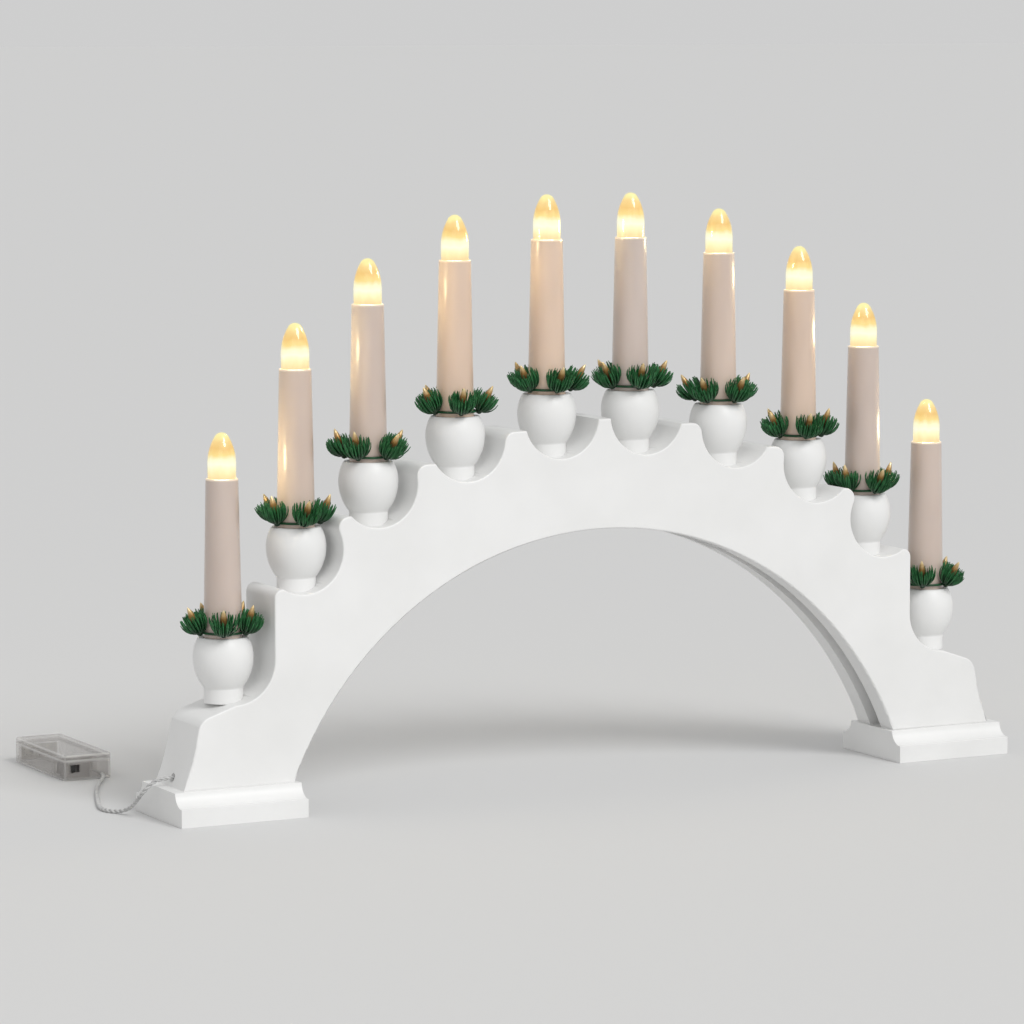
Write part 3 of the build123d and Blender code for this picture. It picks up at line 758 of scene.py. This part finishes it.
# the leg sides are one shallow curve: their normals tilt evenly with height, past the lead's bore
def evenLegSides(obj):
    mesh = obj.data
    normals = [corner.vector.copy() for corner in mesh.corner_normals]
    for side in (-1, 1):
        faces = [face for face in mesh.polygons if isLegSide(face, side)]
        heights = [face.center.z for face in faces]
        tilts = [math.atan2(face.normal.z, face.normal.x * side) for face in faces]
        areas = [face.area for face in faces]
        whole = sum(areas)
        midHeight = sum(a * z for a, z in zip(areas, heights)) / whole
        midTilt = sum(a * t for a, t in zip(areas, tilts)) / whole
        spread = sum(a * (z - midHeight) ** 2 for a, z in zip(areas, heights))
        slope = sum(a * (z - midHeight) * (t - midTilt) for a, z, t in zip(areas, heights, tilts)) / spread
        for face in faces:
            for corner in face.loop_indices:
                z = mesh.vertices[mesh.loops[corner].vertex_index].co.z
                tilt = midTilt + slope * (z - midHeight)
                normals[corner] = Vector((side * math.cos(tilt), 0, math.sin(tilt)))
        print("leg side", side, len(faces), "faces, tilt", round(math.degrees(midTilt), 1))
    mesh.normals_split_custom_set(normals)


archBoard = dressNode("arch_board", "archBoard", "arch", lacquer)
squareFeet(archBoard)
evenLegSides(archBoard)
dressNode("left_plinth", "leftPlinth", "arch", lacquer, bevel=plinth["softEdge"])
dressNode("right_plinth", "rightPlinth", "arch", lacquer, bevel=plinth["softEdge"])
print("board and plinths dressed")

# places of the ten candles: axis and height of the cup's rim
candlePlaces = []
for k in range(1, 11):
    low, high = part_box(f"candle_cup_{k}")
    candlePlaces.append(Vector(((low.x + high.x) / 2, 0, high.z)))

# turned cup, heights from the rim
cup = {
    "sides": 72,
    "belly": 15.35 * mm,
    "rim": 12.5 * mm,
    "rimHeight": 10.2 * mm,
    "neck": 9.95 * mm,
    "neckDrop": 25.7 * mm,
    "seatDrop": 33.2 * mm,
    "tenon": 4.5 * mm,
    "tenonDrop": 43.2 * mm,
    "socket": 10.15 * mm,
    "socketDrop": 12.0 * mm,
    "edge": 0.35 * mm,
    "rimSoft": ((0.35, -1), (-0.4, -0.15), (-1, 0)),  # in edge widths, outward and upward
    "socketSoft": ((0.4, 0), (0, -0.4)),
    "steps": 14,
    "smoothAngle": 40,
}


def softRings(radius, height, edge, offsets):
    return [(radius + edge * out, height + edge * up) for out, up in offsets]


def bellyRings(endRadius, endHeight):
    reach = cup["belly"] - endRadius
    size = (reach ** 2 + endHeight ** 2) / (2 * reach)
    end = math.degrees(math.asin(endHeight / size))
    return arcRings(cup["belly"] - size, -cup["rimHeight"], size, 0, end, cup["steps"])


def makeCups():
    edge = cup["edge"]
    lower = bellyRings(cup["neck"], cup["rimHeight"] - cup["neckDrop"])[::-1]
    upper = bellyRings(cup["rim"], cup["rimHeight"])
    rings = [
        (cup["tenon"], -cup["tenonDrop"]),
        (cup["tenon"], -cup["seatDrop"]),
        (cup["neck"], -cup["seatDrop"]),
        (cup["neck"], -cup["neckDrop"] - edge),
        *lower,
        *upper[1:-1],
        *softRings(cup["rim"], 0, edge, cup["rimSoft"]),
        *softRings(cup["socket"], 0, edge, cup["socketSoft"]),
        (cup["socket"], -cup["socketDrop"]),
    ]
    master = turnForm("cupMaster", rings, cup["sides"])
    smoothOver(master, cup["smoothAngle"])
    paint(master, lacquer)
    for k, place in enumerate(candlePlaces, 1):
        piece = freshCopy(master, f"candleCup{k}", Matrix.Translation(place))
        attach(piece, "arch")
        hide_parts(f"candle_cup_{k}")
    bpy.data.objects.remove(master)
    print("cups turned")


makeCups()

# candle sleeve, heights from the cup's rim
sleeve = {
    "sides": 64,
    "foot": 10.05 * mm,
    "footDrop": 12.0 * mm,
    "top": 8.25 * mm,
    "height": 80.0 * mm,
    "mouth": 7.5 * mm,
    "mouthDepth": 17.6 * mm,
    "edge": 0.3 * mm,
    "rimSoft": ((0, -1), (-0.3, -0.3), (-1, 0)),
    "mouthSoft": ((0.5, 0), (0, -0.5)),
    "rows": 6,
    "smoothAngle": 40,
    # height of the band under the top that carries the painted rim glow
    "paintedGlowBand": 1.1 * mm,
    "paintedGlowShare": 0.6,
    "warmth": (0.1, 0.4, 0.2, 1.0, 1.0, 0.0, 0.4, 0.75, 0.1, 0.15),
}


def makeSleeves():
    edge = sleeve["edge"]
    length = sleeve["height"] + sleeve["footDrop"]
    rings = []
    for i in range(sleeve["rows"] + 1):
        share = i / sleeve["rows"] * (1 - sleeve["paintedGlowBand"] / length)
        radius = sleeve["foot"] + (sleeve["top"] - sleeve["foot"]) * share
        rings.append((radius, -sleeve["footDrop"] + length * share))
    rings += softRings(sleeve["top"], sleeve["height"], edge, sleeve["rimSoft"])
    rings += softRings(sleeve["mouth"], sleeve["height"], edge, sleeve["mouthSoft"])
    rings.append((sleeve["mouth"], sleeve["height"] - sleeve["mouthDepth"]))
    master = turnForm("sleeveMaster", rings, sleeve["sides"])
    smoothOver(master, sleeve["smoothAngle"])
    paint(master, candleCream)
    for k, place in enumerate(candlePlaces, 1):
        piece = freshCopy(master, f"candleSleeve{k}", Matrix.Translation(place))
        markPoints(piece, "warmth", lambda point: sleeve["warmth"][k - 1])
        # marks the top band that gets the painted rim glow
        paintedGlowFrom = place.z + sleeve["height"] - sleeve["paintedGlowBand"] * sleeve["paintedGlowShare"]
        markPoints(piece, "paintedRimGlowMask", lambda point: 1.0 if point.z > paintedGlowFrom else 0.0)
        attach(piece, "arch")
        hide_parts(f"candle_sleeve_{k}")
    bpy.data.objects.remove(master)
    print("sleeves turned")


makeSleeves()

# bullet lamp, heights from the sleeve's top
lamp = {
    "sides": 48,
    "widest": 7.3 * mm,
    "mouth": 7.2 * mm,
    "mouthRise": 1.0 * mm,
    "height": 23.2 * mm,
    "widestHeight": 7.2 * mm,
    "tip": 4.0 * mm,
    "tipEnd": 88,
    "sideSteps": 10,
    "tipSteps": 9,
    "neck": 5.1 * mm,
    "neckDrop": 6.0 * mm,
    "wall": 0.8 * mm,
    "cap": 4.75 * mm,
    "capFootShare": 0.9,
    "capTop": 6.05 * mm,
    "capDrop": 14.55 * mm,
    "contact": 2.0 * mm,
    "contactDrop": 15.55 * mm,
    "threadDepth": 0.44 * mm,
    "threadRise": 0.5 * mm,
    "threadTurns": 7,
    "glowInset": 0.74 * mm,
    "smoothAngle": {"glass": 50, "cap": 25, "glow": 60},
    "shine": {"power": 0.045, "colour": (1.0, 0.84, 0.46), "height": 7.0 * mm, "size": 6.0 * mm},
}


def bulletRings(inset):
    foot = [
        (lamp["neck"] - inset, -lamp["neckDrop"] + inset * 0.5),
        (lamp["mouth"] - inset, 0),
        (lamp["mouth"] - inset, lamp["mouthRise"]),
    ]
    widest, tip = lamp["widest"] - inset, lamp["tip"] - inset
    rise = lamp["height"] - lamp["widestHeight"] - lamp["tip"]
    size = (widest ** 2 + rise ** 2 - tip ** 2) / (2 * (widest - tip))
    bend = math.degrees(math.asin(rise / (size - tip)))
    side = arcRings(widest - size, lamp["widestHeight"], size, 0, bend, lamp["sideSteps"])
    top = arcRings(0, lamp["widestHeight"] + rise, tip, bend, lamp["tipEnd"], lamp["tipSteps"])
    return foot + side + top[1:]


def makeLamps():
    glass = turnForm("glassMaster", bulletRings(0), lamp["sides"])
    pick(glass)
    bpy.ops.object.mode_set(mode="EDIT")
    bpy.ops.mesh.select_all(action="DESELECT")
    bpy.ops.object.mode_set(mode="OBJECT")
    for face in glass.data.polygons:
        face.select = face.center.z < -lamp["neckDrop"] + 0.1 * mm  # the disc at the neck
    bpy.ops.object.mode_set(mode="EDIT")
    bpy.ops.mesh.delete(type="ONLY_FACE")
    bpy.ops.object.mode_set(mode="OBJECT")
    wall = glass.modifiers.new("glassWall", "SOLIDIFY")
    wall.thickness = lamp["wall"]
    wall.offset = -1
    applyAll(glass)
    smoothOver(glass, lamp["smoothAngle"]["glass"])
    paint(glass, lampGlass)

    capRings = [
        (lamp["contact"], -lamp["contactDrop"]),
        (lamp["cap"] * lamp["capFootShare"], -lamp["capDrop"]),
    ]
    for i in range(lamp["threadTurns"]):
        z = -lamp["capDrop"] + (lamp["capDrop"] - lamp["capTop"]) * (i + 0.5) / lamp["threadTurns"]
        capRings += [(lamp["cap"] - lamp["threadDepth"], z - lamp["threadRise"]), (lamp["cap"], z)]
    capRings.append((lamp["cap"], -lamp["capTop"]))
    capForm = turnForm("capMaster", capRings, lamp["sides"])
    smoothOver(capForm, lamp["smoothAngle"]["cap"])
    paint(capForm, capBrass)

    glow = turnForm("glowMaster", bulletRings(lamp["glowInset"]), lamp["sides"])
    smoothOver(glow, lamp["smoothAngle"]["glow"])
    markPoints(glow, "rise", lambda point: max(point.z, 0) / lamp["height"])
    paint(glow, lampGlow)

    for k, place in enumerate(candlePlaces, 1):
        spot = Matrix.Translation(place + Vector((0, 0, sleeve["height"])))
        bulb = freshCopy(glass, f"lampGlass{k}", spot)
        # lets the small light through to the sleeves' gloss
        bulb.visible_shadow = bulb.visible_glossy = False
        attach(bulb, f"lamp_{k}")
        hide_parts(f"lamp_{k}")
        screw = freshCopy(capForm, f"lampCap{k}", spot)
        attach(screw, f"lamp_{k}")
        light = freshCopy(glow, f"lampGlow{k}", spot)
        light.visible_shadow = light.visible_glossy = False
        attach(light, f"lamp_{k}")
        shine = bpy.data.lights.new(f"lampShine{k}", "POINT")
        shine.energy = lamp["shine"]["power"]
        shine.color = lamp["shine"]["colour"]
        shine.shadow_soft_size = lamp["shine"]["size"]
        bulbLight = addObject(f"lampShine{k}", shine)
        bulbLight.location = place + Vector((0, 0, sleeve["height"] + lamp["shine"]["height"]))
    for master in (glass, capForm, glow):
        bpy.data.objects.remove(master)
    print("lamps made")


makeLamps()

# wreath: wire ring with five tulip-shaped needle tufts and a bud in each, heights from the cup's rim
wreath = {
    "turns": (30, 50, 5, 41, 51, 45, 71, 43, 58, 18),
    "tufts": 5,
    "ring": 10.75 * mm,
    "ringHeight": 2.4 * mm,
    "ringSides": 48,
    "wire": 0.64 * mm,
    "wireSides": 8,
    "tuftRadius": 12.2 * mm,
    "tuftHeight": 2.4 * mm,
    "lean": 60,
    "crowdedLean": 12,
    "crowdedFrom": 0.6,
    # opening and closing angle from the tuft's axis, length, count
    "rows": (
        (76, -4, 12.8, 23), (63, -3, 12.8, 20), (50, -2, 12.6, 17), (37, -1, 11.4, 12), (24, 0, 8.6, 7),
    ),
    "needleRadius": 0.42 * mm,
    "roundness": 1,
    "smoothAngle": 60,
    "needleRoot": 0.7 * mm,
    "taper": (0.7, 1.0, 1.0, 0.95, 0.8, 0.45),
    "lengthShares": (1.0, 0.9, 0.8, 0.7, 0.6, 0.5),
    "turnDrift": 3,
    "leanDrift": 4,
    "fanDrift": 0.3,
    "nodDrift": 5,
    "shortest": 0.9,
    "sleeveGap": 10.2 * mm,
    "reach": 23.0 * mm,
    "neighbourReach": 20.0 * mm,
    "seed": 7,
}
pod = {
    "rings": ((0.9, -1.4), (1.6, -0.7), (1.9, 0.4), (1.3, 1.5), (0.4, 2.0)),
    "sides": 8,
}
bud = {
    "rings": (
        (0.6, 0.0), (0.9, 4.2), (1.5, 5.8), (1.82, 7.6),
        (1.72, 9.6), (1.25, 11.8), (0.6, 13.6), (0.12, 14.4),
    ),
    "sides": 8,
    "lift": 0.4 * mm,
}
# lips of the board beside the wreaths: the wall's way from the cup's axis and its top above the rim
highLip = (20.2 * mm, 24 * mm)
lowLip = (15.2 * mm, 5.7 * mm)
noLip = (1.0, 0.0)
lips = {1: highLip, 2: lowLip, 9: lowLip, 10: highLip}
# sides on which a close neighbour stands
closeSides = {1: (1,), 2: (-1, 1), 3: (-1,), 8: (1,), 9: (-1, 1), 10: (-1,)}


def needlePath(opening, closing, length):
    steps = len(wreath["taper"]) - 1
    spots = [Vector((wreath["needleRoot"], 0, 0))]
    for i in range(steps):
        angle = math.radians(opening + (closing - opening) * (i + 0.5) / steps)
        spots.append(spots[-1] + Vector((math.sin(angle), 0, math.cos(angle))) * (length / steps))
    return spots


def bentNeedle(opening, closing, length):
    spots = needlePath(opening, closing, length)
    needle = wireAlong("bentNeedle", spots, wreath["needleRadius"], wreath["roundness"], wreath["taper"])
    markPoints(needle, "rise", lambda point: point.z / spots[-1].z)
    paint(needle, needleGreen)
    return needle, spots


def isFree(point, k):
    lipWall, lipTop = lips.get(k, noLip)
    inward = 1 if k <= len(candlePlaces) / 2 else -1
    flat = math.hypot(point.x, point.y)
    if flat < wreath["sleeveGap"] or flat > wreath["reach"]:
        return False
    if point.x * inward > lipWall and point.z < lipTop:
        return False
    return all(point.x * side < wreath["neighbourReach"] for side in closeSides.get(k, ()))


# full-length share of a needle that clears the sleeve, the board's lips and the neighbours
def roomFor(spots, place, k):
    for share in wreath["lengthShares"]:
        if all(isFree(place @ (spot * share), k) for spot in spots[1:]):
            return share
    return 0


def makeWreaths():
    rng = random.Random(wreath["seed"])
    needles = [
        bentNeedle(opening, closing, length * mm) for opening, closing, length, count in wreath["rows"]
    ]
    knob = turnForm("podMaster", [(r * mm, z * mm) for r, z in pod["rings"]], pod["sides"])
    smoothOver(knob, wreath["smoothAngle"])
    paint(knob, needleGreen)
    cone = turnForm("budMaster", [(r * mm, z * mm) for r, z in bud["rings"]], bud["sides"])
    smoothOver(cone, wreath["smoothAngle"])
    markPoints(cone, "rise", lambda point: point.z / (bud["rings"][-1][1] * mm))
    paint(cone, budBronze)
    deselectAll()
    bpy.ops.mesh.primitive_torus_add(
        major_radius=wreath["ring"], minor_radius=wreath["wire"], major_segments=wreath["ringSides"],
        minor_segments=wreath["wireSides"], location=(0, 0, wreath["ringHeight"]),
    )
    ring = bpy.context.object
    bpy.ops.object.transform_apply(location=True)
    bpy.ops.object.shade_smooth()
    paint(ring, wireGreen)

    budLift = Matrix.Translation((0, 0, bud["lift"]))
    for k, place in enumerate(candlePlaces, 1):
        spot = Matrix.Translation(place)
        greens = [freshCopy(ring, "wreathRing", spot)]
        buds = []
        for t in range(wreath["tufts"]):
            drift = rng.uniform(-wreath["turnDrift"], wreath["turnDrift"])
            turn = math.radians(wreath["turns"][k - 1] + 360 / wreath["tufts"] * t + drift)
            out = Vector((math.cos(turn), math.sin(turn), 0))
            # tufts beside a lip or a neighbour stand more upright
            crowded = any(out.x * side > wreath["crowdedFrom"] for side in closeSides.get(k, ()))
            upright = wreath["lean"] + (wreath["crowdedLean"] if crowded else 0)
            lean = math.radians(upright + rng.uniform(-wreath["leanDrift"], wreath["leanDrift"]))
            axis = out * math.cos(lean) + Vector((0, 0, 1)) * math.sin(lean)
            root = out * wreath["tuftRadius"] + Vector((0, 0, wreath["tuftHeight"]))
            stand = Matrix.Translation(root) @ axis.to_track_quat("Z", "X").to_matrix().to_4x4()
            greens.append(freshCopy(knob, "wreathPod", spot @ stand))
            buds.append(freshCopy(cone, "wreathBud", spot @ stand @ budLift))
            for (needle, spots), (opening, closing, length, count) in zip(needles, wreath["rows"]):
                swing = rng.uniform(0, 2 * math.pi)
                for n in range(count):
                    step = n + rng.uniform(-wreath["fanDrift"], wreath["fanDrift"])
                    fan = Matrix.Rotation(swing + 2 * math.pi * step / count, 4, "Z")
                    tip = math.radians(rng.uniform(-wreath["nodDrift"], wreath["nodDrift"]))
                    lie = stand @ fan @ Matrix.Rotation(tip, 4, "Y")
                    share = roomFor(spots, lie, k) * rng.uniform(wreath["shortest"], 1.0)
                    if share:
                        grow = Matrix.Scale(share, 4)
                        greens.append(freshCopy(needle, "wreathNeedle", spot @ lie @ grow))
        piece = joinAll(greens, f"wreathNeedles{k}")
        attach(piece, f"wreath_{k}")
        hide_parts(f"wreath_{k}")
        cones = joinAll(buds, f"wreathBuds{k}")
        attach(cones, f"wreath_{k}")
    for master in (knob, cone, ring, *[needle for needle, spots in needles]):
        bpy.data.objects.remove(master)
    print("wreaths made")


makeWreaths()

# floor and light
stage = {
    "floor": (0.648, 0.648, 0.645),
    "floorSize": 90,
    "world": (0.62, 0.62, 0.62),
    "sun": {"turn": 14, "height": 42, "strength": 1.55, "spread": 24},
    "fill": {"place": (-1.3, -1.6, 0.9), "aim": (0, 0, 0.13), "size": 1.2, "power": 3},
}


def makeStage():
    deselectAll()
    bpy.ops.mesh.primitive_plane_add(size=stage["floorSize"])
    floor = bpy.context.object
    floor.name = "studioFloor"
    finish = Finish("studioFloor").plain(Roughness=0.9, Base_Color=(*stage["floor"], 1))
    paint(floor, finish.material)
    world = bpy.data.worlds.new("studioWorld")
    bpy.context.scene.world = world
    world.use_nodes = True
    ground = world.node_tree.nodes["Background"]
    ground.inputs["Color"].default_value = (*stage["world"], 1)
    ground.inputs["Strength"].default_value = 1
    sun = bpy.data.lights.new("softSun", "SUN")
    sun.energy = stage["sun"]["strength"]
    sun.angle = math.radians(stage["sun"]["spread"])
    sunObj = addObject("softSun", sun)
    tilt = math.radians(90 - stage["sun"]["height"])
    sunObj.rotation_euler = (tilt, 0, math.radians(stage["sun"]["turn"]))
    fill = bpy.data.lights.new("fillLight", "AREA")
    fill.size = stage["fill"]["size"]
    fill.energy = stage["fill"]["power"]
    fillObj = addObject("fillLight", fill)
    fillObj.location = stage["fill"]["place"]
    aim = Vector(stage["fill"]["aim"]) - fillObj.location
    fillObj.rotation_euler = aim.to_track_quat("-Z", "Y").to_euler()
    print("stage set")


makeStage()

bpy.context.scene.view_settings.view_transform = "Standard"
